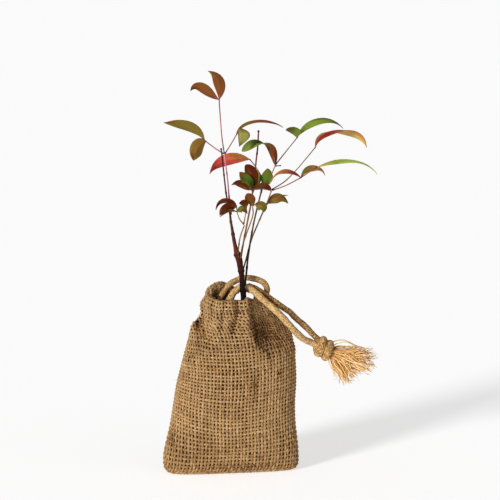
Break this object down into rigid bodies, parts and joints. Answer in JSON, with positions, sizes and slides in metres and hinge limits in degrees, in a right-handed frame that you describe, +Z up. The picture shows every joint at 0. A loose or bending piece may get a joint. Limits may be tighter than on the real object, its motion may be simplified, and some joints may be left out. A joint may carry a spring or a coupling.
{
  "type": "seedling with root ball in a burlap bag",
  "caption": "Slender leafy seedling whose root ball sits in a small burlap drawstring bag with a knotted, frayed pull cord.",
  "frame": {"origin": "middle of the bag's flat underside", "axes": "+Z up, -Y out of the bag's broad front, +X towards the side that the pull cords hang over"},
  "size_m": [0.1605, 0.0498, 0.2927],
  "materials": {
    "burlap": "coarse plain-woven jute, matte",
    "soil": "damp potting soil, matte",
    "bark": "thin red-brown bark, satin",
    "leaf": "leathery leaflets, olive to red, low sheen",
    "jute": "twisted jute rope, matte",
    "fray": "frayed jute fibre, matte"
  },
  "bodies": {
    "root": {"burlap_bag": "burlap", "root_ball": "soil", "main_stem": "bark", "side_stem": "bark", "cut_stem_left": "bark", "cut_stem_tall": "bark", "right_stem": "bark", "top_stem": "bark", "inner_stem_left": "bark", "inner_stem_right": "bark", "upper_right_stem": "bark", "leaves_top": "leaf", "leaves_left": "leaf", "leaves_middle": "leaf", "leaf_red": "leaf", "leaf_twisted": "leaf", "leaves_green": "leaf", "leaf_salmon": "leaf", "leaves_right": "leaf", "leaf_dark": "leaf", "leaf_bright": "leaf", "leaves_centre": "leaf", "leaf_behind": "leaf", "leaves_low_left": "leaf", "leaves_low_centre": "leaf", "leaves_low_right": "leaf", "neck_cord": "jute", "pull_cord_front": "jute", "pull_cord_back": "jute", "cord_knot": "jute", "cord_tassel": "fray"}
  },
  "joints": []
}
